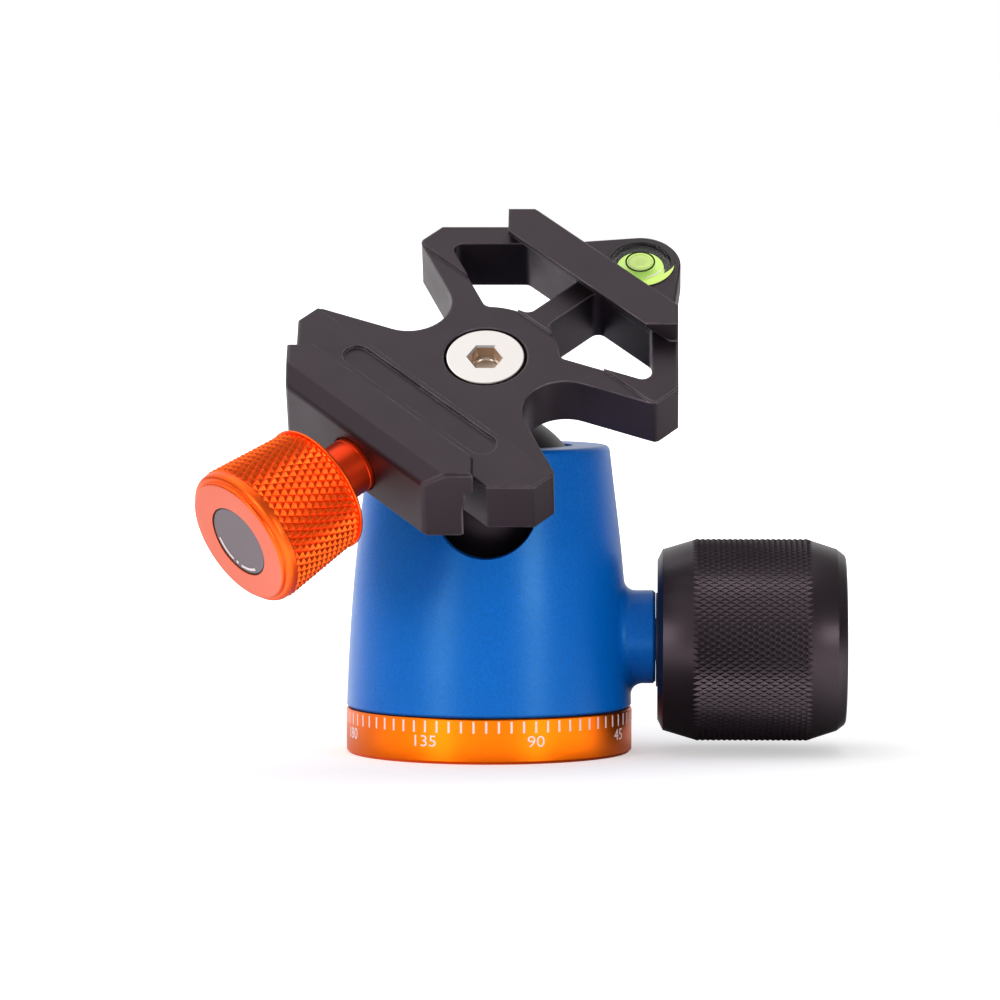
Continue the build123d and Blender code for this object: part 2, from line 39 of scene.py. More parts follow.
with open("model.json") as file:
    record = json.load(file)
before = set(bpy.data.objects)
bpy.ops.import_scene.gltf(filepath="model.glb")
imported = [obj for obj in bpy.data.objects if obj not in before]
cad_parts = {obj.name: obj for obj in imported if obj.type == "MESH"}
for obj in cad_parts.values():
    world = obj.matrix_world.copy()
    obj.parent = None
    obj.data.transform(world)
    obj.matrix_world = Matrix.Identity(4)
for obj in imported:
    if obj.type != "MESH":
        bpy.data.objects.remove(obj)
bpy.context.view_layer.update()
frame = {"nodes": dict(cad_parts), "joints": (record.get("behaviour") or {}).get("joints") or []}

MM = 0.001
WHITE = (1.0, 1.0, 1.0, 1.0)
JOINTS = {joint["name"]: joint for joint in frame["joints"]}
BALL_CENTRE = Vector(JOINTS["ball_tilt"]["pos_m"])
UP = Vector(JOINTS["clamp_spin"]["axis"])          # square to the clamp's plate
ACROSS = Vector(JOINTS["jaw_slide"]["axis"])       # from the clamp knob to the fixed jaw
ALONG = ACROSS.cross(UP)                           # along the jaws
CLAMP_HEIGHT = 28.4                                # mm, ball centre to the plate's recessed top
KNOB_DROP = 3.6                                    # mm, plate's top down to the clamp knob's axis
LOCK_HEIGHT = 15.7                                 # mm, underside up to the locking knob's axis
LEVEL_PLACE = (0.0, 29.9, -1.95)                   # mm, the bubble level from the clamp screw's head


def placed(x_way, z_way, origin):
    """A matrix, taking millimetres, with its Z and X along two square directions."""
    y_way = z_way.cross(x_way)
    turn = Matrix((x_way, y_way, z_way)).transposed().to_4x4()
    return Matrix.Translation(origin) @ turn @ Matrix.Scale(MM, 4)


UPRIGHT = Matrix.Scale(MM, 4)
CLAMP = placed(ALONG, UP, BALL_CENTRE + UP * CLAMP_HEIGHT * MM)
CLAMP_AXIS = placed(ALONG, ACROSS, CLAMP @ Vector((0.0, 0.0, -KNOB_DROP)))
LOCK_AXIS = placed(Vector((0, 0, -1)), Vector((1, 0, 0)), Vector((0, 0, LOCK_HEIGHT * MM)))
LEVEL = CLAMP @ Matrix.Translation(LEVEL_PLACE)


# --- meshes ---

def link(name, mesh, look, body):
    """Put a finished mesh in the scene, give it its finish and let it ride on a body."""
    piece = bpy.data.objects.new(name, mesh)
    bpy.context.scene.collection.objects.link(piece)
    if look:
        mesh.materials.clear()
        mesh.materials.append(MATERIALS[look])
    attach(piece, body)
    return piece


ON_AXIS = 1e-6                                     # mm, a smaller radius is a point on the axis
SAME_SPOT = 1e-5                                   # mm, closer points are one


def closed_mesh(name, bm, matrix, sharp=32.0):
    """A bmesh in millimetres as a closed mesh in its place, smooth but for edges over sharp degrees."""
    bmesh.ops.remove_doubles(bm, verts=bm.verts, dist=SAME_SPOT)
    bmesh.ops.recalc_face_normals(bm, faces=bm.faces)
    bm.transform(matrix)
    for face in bm.faces:
        face.smooth = True
    limit = math.radians(sharp)
    for edge in bm.edges:
        if len(edge.link_faces) != 2 or edge.calc_face_angle(0.0) > limit:
            edge.smooth = False
    mesh = bpy.data.meshes.new(name)
    bm.to_mesh(mesh)
    bm.free()
    return mesh


def lathe(bm, profile, segments=128):
    """Turn (radius, height) points about Z into a closed shell; a profile off the axis closes on itself.

    A point with a third value is a hexagon, and its radius is the distance out to its flats.
    """
    if profile[0][0] > ON_AXIS:
        profile = list(profile) + [profile[0]]
    turn = [math.tau * i / segments for i in range(segments)]
    sixth, phase = math.pi / 3, math.pi / 12       # a hexagon's side, and where its first flat faces
    rings = []
    for radius, height, *flats in profile:
        if radius < ON_AXIS:
            rings.append([bm.verts.new((0, 0, height))])
            continue
        reach = [radius / math.cos((a - phase + sixth / 2) % sixth - sixth / 2) if flats else radius
                 for a in turn]
        rings.append([bm.verts.new((r * math.cos(a), r * math.sin(a), height))
                      for r, a in zip(reach, turn)])
    for low, high in zip(rings, rings[1:]):
        for i in range(segments):
            j = (i + 1) % segments
            corners = [low[i % len(low)], low[j % len(low)], high[j % len(high)], high[i % len(high)]]
            bm.faces.new(list(dict.fromkeys(corners)))


def turned(name, profile, matrix, look, body, segments=128, sharp=32.0):
    """A lathe's shell as a piece in its place, on its body."""
    bm = bmesh.new()
    lathe(bm, profile, segments)
    return link(name, closed_mesh(name, bm, matrix, sharp), look, body)


def soft_corner(before, corner, after, radius, steps=5):
    """Points of a rounded corner between two straight runs of a profile."""
    corner = Vector(corner)
    one, two = (Vector(before) - corner).normalized(), (Vector(after) - corner).normalized()
    half = one.angle(two) / 2
    reach = radius / math.tan(half)
    centre = corner + (one + two).normalized() * radius / math.sin(half)
    start, end = corner + one * reach - centre, corner + two * reach - centre
    turn = start.angle_signed(end)
    points = []
    for i in range(steps + 1):
        a = -turn * i / steps
        points.append(tuple(centre + Matrix.Rotation(a, 2) @ start))
    return points


def profile_of(points):
    """A profile from (radius, height, rounding) points."""
    out = []
    for i, (radius, height, rounding) in enumerate(points):
        if rounding:
            out += soft_corner(points[i - 1][:2], (radius, height), points[i + 1][:2], rounding)
        else:
            out.append((radius, height))
    return out


def arc_bar(bm, inner, outer, first, last, low, high, steps=24, tapered=False):
    """A bar bent round Z between two angles in degrees, closed at both ends; a tapered one is a crescent."""
    thinnest = 0.03                                # share of the width left at a crescent's tips
    rings = []
    for i in range(steps + 1):
        a = math.radians(first + (last - first) * i / steps)
        width = max(thinnest, math.sin(math.pi * i / steps)) if tapered else 1.0
        near = outer - (outer - inner) * width
        rings.append([bm.verts.new((r * math.cos(a), r * math.sin(a), h))
                      for r, h in ((near, low), (outer, low), (outer, high), (near, high))])
    for one, two in zip(rings, rings[1:]):
        for i in range(4):
            j = (i + 1) % 4
            bm.faces.new((one[i], one[j], two[j], two[i]))
    bm.faces.new(rings[0])
    bm.faces.new(rings[-1][::-1])


# --- node boards ---

class Board:
    """Sets nodes down in one tree and wires them."""

    def __init__(self, tree):
        self.tree = tree

    def put(self, kind, wires=None, **settings):
        """Add a node with its settings, and wire or set its inputs."""
        node = self.tree.nodes.new(kind)
        for name, value in settings.items():
            setattr(node, name, value)
        for key, value in (wires or {}).items():
            if isinstance(value, bpy.types.Node):
                value = value.outputs[0]
            if isinstance(value, bpy.types.NodeSocket):
                self.tree.links.new(value, node.inputs[key])
            else:
                node.inputs[key].default_value = value
        return node

    def math(self, operation, *values):
        """Work on numbers."""
        return self.put("ShaderNodeMath", dict(enumerate(values)), operation=operation).outputs[0]

    def vector(self, operation, *values):
        """Work on vectors."""
        node = self.put("ShaderNodeVectorMath", dict(enumerate(values)), operation=operation)
        return node.outputs["Value" if operation in ("LENGTH", "DOT_PRODUCT") else "Vector"]

    def blend(self, factor, one, two):
        """Mix two colours."""
        node = self.put("ShaderNodeMix", data_type="RGBA")
        for index, value in ((0, factor), (6, one), (7, two)):
            if isinstance(value, bpy.types.NodeSocket):
                self.tree.links.new(value, node.inputs[index])
            else:
                node.inputs[index].default_value = value
        return node.outputs[2]

    def ease(self, value, start, end, low=0.0, high=1.0):
        """A soft step from low to high while a value goes from start to end."""
        return self.put("ShaderNodeMapRange", {0: value, 1: start, 2: end, 3: low, 4: high},
                        interpolation_type="SMOOTHSTEP").outputs[0]


def empty_board(block):
    """Turn nodes on in a material or a world and clear them."""
    block.use_nodes = True
    block.node_tree.nodes.clear()
    return Board(block.node_tree)


def sockets(tree, inputs, outputs):
    """Name a group's sockets; inputs give (name, type, default)."""
    for name, kind, default in inputs:
        new = tree.interface.new_socket(name, in_out="INPUT", socket_type=kind)
        if default is not None:
            new.default_value = default
    for name, kind in outputs:
        tree.interface.new_socket(name, in_out="OUTPUT", socket_type=kind)


# --- geometry nodes: knurl, ticks, thread and pad studs ---

def geometry_tree(name, inputs):
    """A geometry tree with named inputs, its board and its input sockets."""
    tree = bpy.data.node_groups.new(name, "GeometryNodeTree")
    sockets(tree, [("Geometry", "NodeSocketGeometry", None), *inputs,
                   ("Material", "NodeSocketMaterial", None)], [("Geometry", "NodeSocketGeometry")])
    board = Board(tree)
    return tree, board, board.put("NodeGroupInput").outputs


def hand_out(b, shape, material):
    """End a geometry tree in Realize Instances and Set Material."""
    real = b.put("GeometryNodeRealizeInstances", {0: shape})
    done = b.put("GeometryNodeSetMaterial", {"Geometry": real, "Material": material})
    b.put("NodeGroupOutput", {0: done})


def knurl_tree():
    """Pyramids in staggered rows on a cone about Z; each is a small closed solid."""
    tree, b, given = geometry_tree("knurl", [
        ("Columns", "NodeSocketInt", 50),
        ("Rows", "NodeSocketInt", 20),
        ("Start", "NodeSocketFloat", 0.0),
        ("Pitch", "NodeSocketFloat", 1.0),
        ("Start Radius", "NodeSocketFloat", 10.0),
        ("Slope", "NodeSocketFloat", 0.0),
        ("Depth", "NodeSocketFloat", 0.3),
        ("Flat", "NodeSocketFloat", 0.15),
    ])
    index = b.put("GeometryNodeInputIndex").outputs[0]
    row = b.math("FLOOR", b.math("DIVIDE", b.math("ADD", index, 0.5), given["Columns"]))
    column = b.math("SUBTRACT", index, b.math("MULTIPLY", row, given["Columns"]))
    stagger = b.math("MULTIPLY", b.math("MODULO", row, 2.0), 0.5)
    share = b.math("DIVIDE", b.math("ADD", column, stagger), given["Columns"])
    angle = b.math("MULTIPLY", share, math.tau)
    along = b.math("MULTIPLY", b.math("MULTIPLY", row, given["Pitch"]), 0.5)
    radius = b.math("ADD", given["Start Radius"], b.math("MULTIPLY", along, given["Slope"]))
    cos, sin = b.math("COSINE", angle), b.math("SINE", angle)
    foot = b.math("SUBTRACT", radius, given["Depth"])
    middle = b.math("SUBTRACT", radius, b.math("MULTIPLY", given["Depth"], 0.5))
    spot = b.put("ShaderNodeCombineXYZ", {
        0: b.math("MULTIPLY", foot, cos), 1: b.math("MULTIPLY", foot, sin),
        2: b.math("ADD", given["Start"], along)}).outputs[0]
    outward = b.put("ShaderNodeCombineXYZ", {
        0: cos, 1: sin, 2: b.math("MULTIPLY", given["Slope"], -1.0)}).outputs[0]
    upward = b.put("ShaderNodeCombineXYZ", {
        0: b.math("MULTIPLY", cos, given["Slope"]), 1: b.math("MULTIPLY", sin, given["Slope"]),
        2: 1.0}).outputs[0]
    points = b.put("GeometryNodePoints", {
        "Count": b.math("MULTIPLY", given["Columns"], given["Rows"]), "Position": spot})
    turn = b.put("FunctionNodeAxesToRotation", {0: outward, 1: upward},
                 primary_axis="Z", secondary_axis="Y")
    half_width = b.math("DIVIDE", b.math("MULTIPLY", middle, math.pi), given["Columns"])
    scale = b.put("ShaderNodeCombineXYZ", {
        0: half_width, 1: b.math("MULTIPLY", given["Pitch"], 0.5), 2: given["Depth"]})
    tooth = b.put("GeometryNodeMeshCone", {
        "Vertices": 4, "Radius Top": given["Flat"], "Radius Bottom": 1.0, "Depth": 1.0})
    spread = b.put("GeometryNodeInstanceOnPoints", {
        "Points": points, "Instance": tooth.outputs["Mesh"], "Rotation": turn, "Scale": scale})
    hand_out(b, spread, given["Material"])
    return tree


def tick_tree():
    """Small bars in a ring about Z, standing on a cylinder."""
    tree, b, given = geometry_tree("scale_ticks", [
        ("Count", "NodeSocketInt", 72),
        ("First", "NodeSocketFloat", 0.0),
        ("Radius", "NodeSocketFloat", 20.0),
        ("Middle", "NodeSocketFloat", 5.0),
        ("Size", "NodeSocketVector", (0.2, 0.2, 1.6)),
    ])
    index = b.put("GeometryNodeInputIndex").outputs[0]
    step = b.math("DIVIDE", math.tau, given["Count"])
    angle = b.math("ADD", b.math("MULTIPLY", index, step), given["First"])
    spot = b.put("ShaderNodeCombineXYZ", {
        0: b.math("MULTIPLY", given["Radius"], b.math("COSINE", angle)),
        1: b.math("MULTIPLY", given["Radius"], b.math("SINE", angle)),
        2: given["Middle"]})
    points = b.put("GeometryNodePoints", {"Count": given["Count"], "Position": spot})
    turn = b.put("ShaderNodeCombineXYZ", {2: angle})
    bar = b.put("GeometryNodeMeshCube", {"Size": given["Size"]})
    spread = b.put("GeometryNodeInstanceOnPoints", {
        "Points": points, "Instance": bar.outputs["Mesh"], "Rotation": turn})
    hand_out(b, spread, given["Material"])
    return tree


def thread_tree():
    """A three-sided ridge wound up inside a hole about Z."""
    tree, b, given = geometry_tree("thread", [
        ("Pitch", "NodeSocketFloat", 1.5875),
        ("Turns", "NodeSocketFloat", 4.0),
        ("Start", "NodeSocketFloat", 0.5),
        ("Crest Radius", "NodeSocketFloat", 4.0),
        ("Ridge", "NodeSocketFloat", 0.8),
    ])
    middle = b.math("ADD", given["Crest Radius"], given["Ridge"])
    spiral = b.put("GeometryNodeCurveSpiral", {
        "Resolution": 40, "Rotations": given["Turns"], "Start Radius": middle, "End Radius": middle,
        "Height": b.math("MULTIPLY", given["Turns"], given["Pitch"]), "Reverse": True})
    lift = b.put("ShaderNodeCombineXYZ", {2: given["Start"]})
    raised = b.put("GeometryNodeTransform", {"Geometry": spiral, "Translation": lift})
    section = b.put("GeometryNodeCurvePrimitiveCircle", {"Resolution": 3, "Radius": given["Ridge"]})
    ridge = b.put("GeometryNodeCurveToMesh", {
        "Curve": raised, "Profile Curve": section, "Fill Caps": True})
    hand_out(b, ridge, given["Material"])
    return tree


def stud_tree():
    """Small round studs over a ring about Z, left out round three screws."""
    tree, b, given = geometry_tree("pad_studs", [
        ("Spacing", "NodeSocketFloat", 0.9),
        ("Inner", "NodeSocketFloat", 10.0),
        ("Outer", "NodeSocketFloat", 16.8),
        ("Screw Circle", "NodeSocketFloat", 13.4),
        ("Clear Radius", "NodeSocketFloat", 2.5),
        ("Stud Radius", "NodeSocketFloat", 0.3),
        ("Height", "NodeSocketFloat", 0.3),
    ])
    across = b.math("MULTIPLY", given["Outer"], 2.0)
    count = b.math("FLOOR", b.math("DIVIDE", across, given["Spacing"]))
    grid = b.put("GeometryNodeMeshGrid", {"Size X": across, "Size Y": across,
                                          "Vertices X": count, "Vertices Y": count})
    where = b.put("GeometryNodeInputPosition").outputs[0]
    radius = b.vector("LENGTH", where)
    drop = b.math("MAXIMUM", b.math("LESS_THAN", radius, given["Inner"]),
                  b.math("GREATER_THAN", radius, given["Outer"]))
    for degrees in (30, 150, 270):                 # the cover screws
        way = (math.cos(math.radians(degrees)), math.sin(math.radians(degrees)), 0.0)
        screw = b.put("ShaderNodeVectorMath", {0: way, "Scale": given["Screw Circle"]},
                      operation="SCALE").outputs[0]
        away = b.vector("LENGTH", b.vector("SUBTRACT", where, screw))
        drop = b.math("MAXIMUM", drop, b.math("LESS_THAN", away, given["Clear Radius"]))
    kept = b.put("GeometryNodeDeleteGeometry", {"Geometry": grid.outputs[0], "Selection": drop})
    points = b.put("GeometryNodeMeshToPoints", {"Mesh": kept})
    narrowed = 0.7                                 # share of its radius left at a stud's tip
    stud = b.put("GeometryNodeMeshCone", {
        "Vertices": 8, "Radius Top": b.math("MULTIPLY", given["Stud Radius"], narrowed),
        "Radius Bottom": given["Stud Radius"], "Depth": given["Height"]})
    spread = b.put("GeometryNodeInstanceOnPoints", {
        "Points": points, "Instance": stud.outputs["Mesh"], "Rotation": (math.pi, 0.0, 0.0)})
    lift = b.put("ShaderNodeCombineXYZ", {2: given["Height"]})
    raised = b.put("GeometryNodeTransform", {"Geometry": spread, "Translation": lift})
    hand_out(b, raised, given["Material"])
    return tree


def grown(name, tree, values, matrix, look, body):
    """Run a geometry tree with named values and keep its result as a plain piece in its place."""
    values = {**values, "Material": MATERIALS[look]}
    seed = bpy.data.objects.new(name + "_seed", bpy.data.meshes.new(name + "_seed"))
    bpy.context.scene.collection.objects.link(seed)
    modifier = seed.modifiers.new("build", "NODES")
    modifier.node_group = tree
    for item in tree.interface.items_tree:
        if item.in_out == "INPUT" and item.name in values:
            modifier[item.identifier] = values[item.name]
    seed.update_tag()
    graph = bpy.context.evaluated_depsgraph_get()
    mesh = bpy.data.meshes.new_from_object(seed.evaluated_get(graph))
    seed.modifiers.remove(modifier)
    bpy.data.objects.remove(seed)
    mesh.name = name
    mesh.transform(matrix)
    return link(name, mesh, None, body)


# --- materials ---

def grain_group():
    """Fine random grain on the object's own coordinates: a height, a speckle mask and a slow cloud."""
    cloud_scale = 180.0                            # per metre, so that a cloud is some 5 mm wide
    tree = bpy.data.node_groups.new("grain", "ShaderNodeTree")
    sockets(tree, [("Size mm", "NodeSocketFloat", 0.1), ("Contrast", "NodeSocketFloat", 1.0)],
            [("Height", "NodeSocketFloat"), ("Mask", "NodeSocketFloat"), ("Cloud", "NodeSocketFloat")])
    b = Board(tree)
    given = b.put("NodeGroupInput").outputs
    where = b.put("ShaderNodeTexCoord").outputs["Object"]
    scale = b.math("DIVIDE", 1.0 / MM, given["Size mm"])
    fine = b.put("ShaderNodeTexNoise", {"Vector": where, "Scale": scale, "Detail": 3.0,
                                        "Roughness": 0.6}).outputs[0]
    wide = b.put("ShaderNodeTexNoise", {"Vector": where, "Scale": cloud_scale, "Detail": 4.0}).outputs[0]
    speck = b.math("MULTIPLY", b.math("SUBTRACT", fine, 0.5), given["Contrast"])
    mask = b.put("ShaderNodeClamp", {0: b.math("ADD", speck, 0.5)})
    out = b.put("NodeGroupOutput")
    tree.links.new(fine, out.inputs["Height"])
    tree.links.new(mask.outputs[0], out.inputs["Mask"])
    tree.links.new(wide, out.inputs["Cloud"])
    return tree


def turning_group():
    """Fine rings left by a lathe round an axis: a height, and the way along the axis in mm."""
    face_share = 1.37                              # rings on a flat face are this much finer
    tree = bpy.data.node_groups.new("turning", "ShaderNodeTree")
    sockets(tree, [("Centre", "NodeSocketVector", (0, 0, 0)), ("Axis", "NodeSocketVector", (0, 0, 1)),
                   ("Pitch mm", "NodeSocketFloat", 0.1)],
            [("Height", "NodeSocketFloat"), ("Along", "NodeSocketFloat")])
    b = Board(tree)
    given = b.put("NodeGroupInput").outputs
    where = b.put("ShaderNodeTexCoord").outputs["Object"]
    offset = b.vector("SUBTRACT", where, given["Centre"])
    along = b.math("MULTIPLY", b.vector("DOT_PRODUCT", offset, given["Axis"]), 1.0 / MM)
    out_from = b.vector("LENGTH", b.vector("CROSS_PRODUCT", offset, given["Axis"]))
    radius = b.math("MULTIPLY", out_from, 1.0 / MM)
    run = b.math("ADD", along, b.math("MULTIPLY", radius, face_share))
    fine = b.put("ShaderNodeTexNoise", {
        "W": b.math("DIVIDE", run, given["Pitch mm"]), "Scale": 1.0, "Detail": 2.0},
        noise_dimensions="1D").outputs[0]
    out = b.put("NodeGroupOutput")
    tree.links.new(fine, out.inputs["Height"])
    tree.links.new(along, out.inputs["Along"])
    return tree


GROUPS, MATERIALS = {}, {}                         # shader groups and finishes, by name


def group(name, build):
    """A shared group, built once."""
    if name not in GROUPS:
        GROUPS[name] = build()
    return GROUPS[name]


BUMP_REACH = 0.02                                  # mm, what a full height of grain or rings stands for
STEP_WIDTH = 0.1                                   # mm, how soon one colour gives way to the next


def finish(name, colour, light, rough, metallic=0.0, grain=0.12, depth=0.15, contrast=1.0, spread=0.08,
           lathe_axis=None, lathe_depth=0.3, band=None, shaded_root=None, edge=0.0, edge_highlight=None, **plain):
    """Make and keep a surface with fine grain, faint clouding and, where it was turned, lathe rings.

    colour and light are the two ends of its speckle. grain is a speck's size in mm, depth its height and
    spread the change in roughness. lathe_axis is a centre, a way and the rings' pitch in mm. band gives a
    place along the axis, the colour below it and its added roughness, and shaded_root a place and the
    painted shade above it. edge rounds the corners for the light, in mm, and edge_highlight is the colour
    of a painted highlight laid in patches on those corners. The rest are the surface's own plain values.
    """
    made = bpy.data.materials.new(name)
    b = empty_board(made)
    speck = b.put("ShaderNodeGroup", node_tree=group("grain", grain_group))
    speck.inputs["Size mm"].default_value = grain
    speck.inputs["Contrast"].default_value = contrast
    tone = b.blend(speck.outputs["Mask"], (*colour, 1.0), (*light, 1.0))
    rougher = b.math("MULTIPLY_ADD", b.math("SUBTRACT", speck.outputs["Cloud"], 0.5), spread * 2.0, rough)
    height = b.math("MULTIPLY", speck.outputs["Height"], depth)
    if lathe_axis:
        centre, way, pitch = lathe_axis
        rings = b.put("ShaderNodeGroup", {"Centre": centre, "Axis": way, "Pitch mm": pitch},
                      node_tree=group("turning", turning_group)).outputs
        height = b.math("ADD", height, b.math("MULTIPLY", rings["Height"], lathe_depth))
        rougher = b.math("ADD", rougher, b.math("MULTIPLY", b.math(
            "SUBTRACT", rings["Height"], 0.5), spread))
        if band:
            place, shade, added = band
            below = b.ease(rings["Along"], place, place - STEP_WIDTH)
            tone = b.blend(below, tone, (*shade, 1.0))
            rougher = b.math("ADD", rougher, b.math("MULTIPLY", below, added))
        # painted shade past a place along the axis
        if shaded_root:
            place, shade = shaded_root
            above = b.ease(rings["Along"], place, place + STEP_WIDTH)
            tone = b.blend(above, tone, (*shade, 1.0))
    bump = {"Height": height, "Strength": 1.0, "Distance": BUMP_REACH * MM}
    if edge:
        rounded = b.put("ShaderNodeBevel", {"Radius": edge * MM}, samples=4).outputs[0]
        bump["Normal"] = rounded
        if edge_highlight:
            # painted highlight: the rounded corners are lightened in patches towards a pale colour
            flat = b.put("ShaderNodeNewGeometry").outputs["Normal"]
            patchy = b.ease(speck.outputs["Cloud"], 0.35, 0.65, 0.25, 0.8)     # share of the painted edge highlight, in patches
            corner = b.ease(b.vector("DOT_PRODUCT", rounded, flat), 0.985, 0.82)
            tone = b.blend(b.math("MULTIPLY", patchy, corner), tone, (*edge_highlight, 1.0))
    surface = b.put("ShaderNodeBsdfPrincipled", {
        "Base Color": tone, "Roughness": rougher, "Metallic": metallic,
        "Normal": b.put("ShaderNodeBump", bump), **plain})
    b.put("ShaderNodeOutputMaterial", {"Surface": surface})
    MATERIALS[name] = made


def scaled(colour, *factor):
    """A colour times one factor, or times one for each channel."""
    factor = factor * 3 if len(factor) == 1 else factor
    return tuple(min(1.0, c * f) for c, f in zip(colour, factor))


PAN_RINGS = (Vector((0, 0, 0)), Vector((0, 0, 1)), 0.12)                   # lathe rings round the pan axis
PAINTED_EDGE_HIGHLIGHT = (0.26, 0.23, 0.25)                        # painted highlight along the edges, laid in patches
DARK_SHEEN = {"Specular Tint": (1.0, 0.77, 0.9, 1.0), "Specular IOR Level": 0.48}


def blue_coat(blue):
    """The housing's powder coat, with a fine orange peel."""
    sheen = {"Specular Tint": (0.35, 0.85, 1.0, 1.0), "Specular IOR Level": 0.42}
    finish("blue_powder_coat", scaled(blue, 0.8), scaled(blue, 1.2), 0.33, grain=0.28, depth=1.2,
           contrast=2.2, edge=0.15, **sheen)


def orange_finishes(orange):
    """Turned and anodised: the pan ring, and the redder clamp knob with its end face and painted shade on its
    shank.
    """
    finish("orange_anodised_ring", scaled(orange, 1.05, 1.1, 0.4), scaled(orange, 1.05, 1.2, 0.4), 0.33,
           1.0, grain=0.05, depth=0.05, lathe_axis=PAN_RINGS, lathe_depth=0.2, edge=0.1)
    finish("orange_anodised_knob", scaled(orange, 1.05, 0.66, 1.0), scaled(orange, 1.05, 0.8, 1.0), 0.36,
           0.9, grain=0.05, depth=0.05, lathe_axis=(CLAMP_AXIS.translation, ACROSS, 0.12),
           lathe_depth=0.12, band=(-45.72, (0.68, 0.175, 0.115), 0.12),
           # painted shade: the shank under the jaws, darker and redder than the knob
           shaded_root=(-31.2, scaled(orange, 0.85, 0.32, 0.8)))


def black_finishes(black):
    """Black anodised: the milled plate with painted highlights on its edges, the turned knob and the polished
    ball.
    """
    lock = (Vector((0, 0, LOCK_HEIGHT * MM)), Vector((1, 0, 0)), 0.12)
    ball_sheen = {**DARK_SHEEN, "Specular IOR Level": 0.25}
    finish("black_anodised_plate", scaled(black, 0.8), scaled(black, 1.3), 0.42, grain=0.09, depth=0.3,
           edge=0.42, edge_highlight=PAINTED_EDGE_HIGHLIGHT, contrast=1.5, **DARK_SHEEN)
    finish("black_anodised_knob", scaled(black, 0.8), scaled(black, 1.2), 0.36, grain=0.06, depth=0.12,
           lathe_axis=lock, lathe_depth=0.25, **DARK_SHEEN)
    finish("black_anodised_ball", scaled(black, 0.8), black, 0.42, grain=0.05, depth=0.04, **ball_sheen)


def bare_metals():
    """Turned steel, the centre screw's satin nickel and brass."""
    finish("turned_steel", (0.5, 0.48, 0.46), (0.6, 0.58, 0.56), 0.3, 1.0, grain=0.08, depth=0.06,
           lathe_axis=PAN_RINGS, lathe_depth=0.15)
    finish("satin_nickel", (0.6, 0.56, 0.54), (0.74, 0.7, 0.67), 0.3, 1.0, grain=0.06, depth=0.1,
           lathe_axis=(CLAMP.translation, UP, 0.1), lathe_depth=0.12,
           # painted reflection: the inside of the hex socket, below the head's top, warmer and darker
           band=(-0.22, (0.6, 0.48, 0.39), 0.0))
    finish("turned_brass", (0.62, 0.44, 0.16), (0.7, 0.52, 0.22), 0.3, 1.0, grain=0.06, depth=0.05)


def plastics():
    """Pale acetal, dark moulded plastic and the grip pad's rubber."""
    finish("pale_acetal", (0.62, 0.62, 0.65), (0.7, 0.7, 0.73), 0.45, grain=0.1, depth=0.1)
    finish("dark_plastic", (0.012, 0.011, 0.012), (0.02, 0.018, 0.02), 0.5, grain=0.1, depth=0.2)
    finish("grip_rubber", (0.02, 0.02, 0.02), (0.035, 0.035, 0.035), 0.8, grain=0.2, depth=0.8)


def disc_and_marks():
    """The clamp knob's grey disc, and the white and black of marks and figures."""
    finish("grey_anodised_disc", (0.13, 0.105, 0.12), (0.17, 0.135, 0.155), 0.35, 0.6, grain=0.05,
           depth=0.06)
    finish("white_fill", (0.86, 0.72, 0.72), (0.95, 0.84, 0.84), 0.5, grain=0.05, depth=0.1)
    finish("black_print", (0.008, 0.008, 0.008), (0.012, 0.012, 0.012), 0.4, grain=0.05, depth=0.05,
           **{"Specular IOR Level": 0.1})


def level_finishes(fluid):
    """The level's fluid, which glows a little, its dark wall, its clear window and the bubble."""
    glow = {"Emission Color": (0.45, 0.85, 0.25, 1.0), "Emission Strength": 0.22}
    clear = {"Transmission Weight": 1.0, "IOR": 1.15}
    finish("level_fluid", scaled(fluid, 0.96), scaled(fluid, 1.04), 0.25, grain=0.5, depth=0.0, **glow)
    finish("level_vial_wall", (0.03, 0.026, 0.028), (0.04, 0.035, 0.036), 0.3, grain=0.3, depth=0.0,
           **{"Specular IOR Level": 0.2})
    finish("level_window", (0.97, 1.0, 0.97), (0.99, 1.0, 0.99), 0.03, grain=0.3, depth=0.0, spread=0.01,
           **clear)
    finish("level_bubble", (0.52, 0.7, 0.16), (0.56, 0.74, 0.2), 0.06, grain=0.3, depth=0.0)


FINISHED_NODES = {
    "orange_anodised_ring": "pan_ring",
    "orange_anodised_knob": "clamp_knob",
    "blue_powder_coat": "housing",
    "black_anodised_plate": "hub_plate platform moving_jaw",
    "black_anodised_knob": "main_knob knob_cap",
    "black_anodised_ball": "ball",
    "turned_steel": "spindle cover_screw_1 cover_screw_2 cover_screw_3 plunger lock_screw jaw_washer "
                    "guide_pin_left guide_pin_right clamp_stud",
    "satin_nickel": "clamp_screw",
    "turned_brass": "floor_ring screw_bush",
    "pale_acetal": "liner ball_cup",
    "dark_plastic": "pan_washer knob_washer",
    "grip_rubber": "grip_pad",
    "grey_anodised_disc": "knob_disc",
    "level_vial_wall": "level_cup",
    "level_fluid": "level_fluid",
    "level_window": "level_glass",
}
NODE_FINISH = {node: look for look, nodes in FINISHED_NODES.items() for node in nodes.split()}


# --- settings ---

def colour_setting(name, description, default):
    """A colour the panel shows."""
    return FloatVectorProperty(name=name, description=description, subtype="COLOR", size=3, min=0.0,
                               max=1.0, default=default)


def mm_setting(name, description, default, **limits):
    """A size in millimetres the panel shows."""
    return FloatProperty(name=name, description=description + ", mm", default=default, **limits)


class FinishSettings(bpy.types.PropertyGroup):
    """Colours of the finishes."""
    body_blue: colour_setting("Body blue", "Colour of the housing's powder coat", (0.0, 0.134, 0.58))
    anodised_orange: colour_setting(
        "Orange", "Colour of the pan ring and the clamp knob", (0.95, 0.15, 0.008))
    anodised_black: colour_setting(
        "Black", "Colour of the clamp plate, jaw and locking knob", (0.008, 0.0055, 0.007))
    level_fluid: colour_setting("Level fluid", "Colour of the level's fluid", (0.66, 0.86, 0.14))


